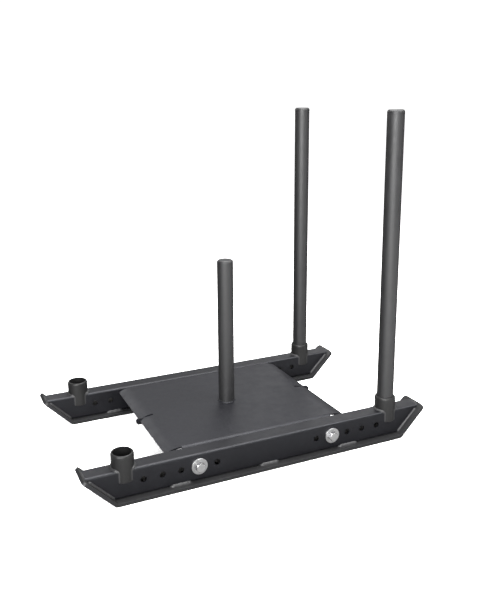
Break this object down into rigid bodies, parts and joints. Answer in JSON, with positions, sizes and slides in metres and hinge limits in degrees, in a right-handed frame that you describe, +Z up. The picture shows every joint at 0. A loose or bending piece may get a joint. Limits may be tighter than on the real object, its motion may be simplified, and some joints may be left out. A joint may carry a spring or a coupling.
{
  "type": "weight sled",
  "caption": "Weight sled with two upturned skis, a bolted deck with a post for weight plates, and two push poles that lift out of sleeves.",
  "frame": {"origin": "centre of the footprint, on the floor", "axes": "+Z up, +X towards the end with the two push poles, +Y towards the pusher's right side"},
  "size_m": [1.0336, 0.5968, 0.957],
  "materials": {
    "rail_coat": "fine-textured black powder coat",
    "ski_coat": "black powder coat, rubbed on the underside",
    "sleeve_coat": "fine-textured black powder coat",
    "deck_coat": "fine-textured black powder coat, lightly scuffed",
    "pole_coat": "satin black powder coat",
    "zinc": "bright zinc plating"
  },
  "bodies": {
    "chassis": {"left_ski": "ski_coat", "right_ski": "ski_coat", "left_rail": "rail_coat", "right_rail": "rail_coat", "left_front_sleeve": "sleeve_coat", "right_front_sleeve": "sleeve_coat", "left_rear_sleeve": "sleeve_coat", "right_rear_sleeve": "sleeve_coat", "deck_plate": "deck_coat", "centre_rib": "deck_coat", "weight_post": "pole_coat", "weight_post_cap": "pole_coat", "left_front_bolt": "zinc", "left_front_outer_washer": "zinc", "left_front_inner_washer": "zinc", "left_front_nut": "zinc", "left_rear_bolt": "zinc", "left_rear_outer_washer": "zinc", "left_rear_inner_washer": "zinc", "left_rear_nut": "zinc", "right_front_bolt": "zinc", "right_front_outer_washer": "zinc", "right_front_inner_washer": "zinc", "right_front_nut": "zinc", "right_rear_bolt": "zinc", "right_rear_outer_washer": "zinc", "right_rear_inner_washer": "zinc", "right_rear_nut": "zinc"},
    "left_pole": {"left_upright": "pole_coat", "left_upright_cap": "pole_coat"},
    "right_pole": {"right_upright": "pole_coat", "right_upright_cap": "pole_coat"}
  },
  "joints": [
    {"name": "left_pole_lift", "type": "slide", "parent": "chassis", "child": "left_pole", "axis": [0, 0, 1], "range_m": [0, 0.08]},
    {"name": "right_pole_lift", "type": "slide", "parent": "chassis", "child": "right_pole", "axis": [0, 0, 1], "range_m": [0, 0.08]}
  ]
}
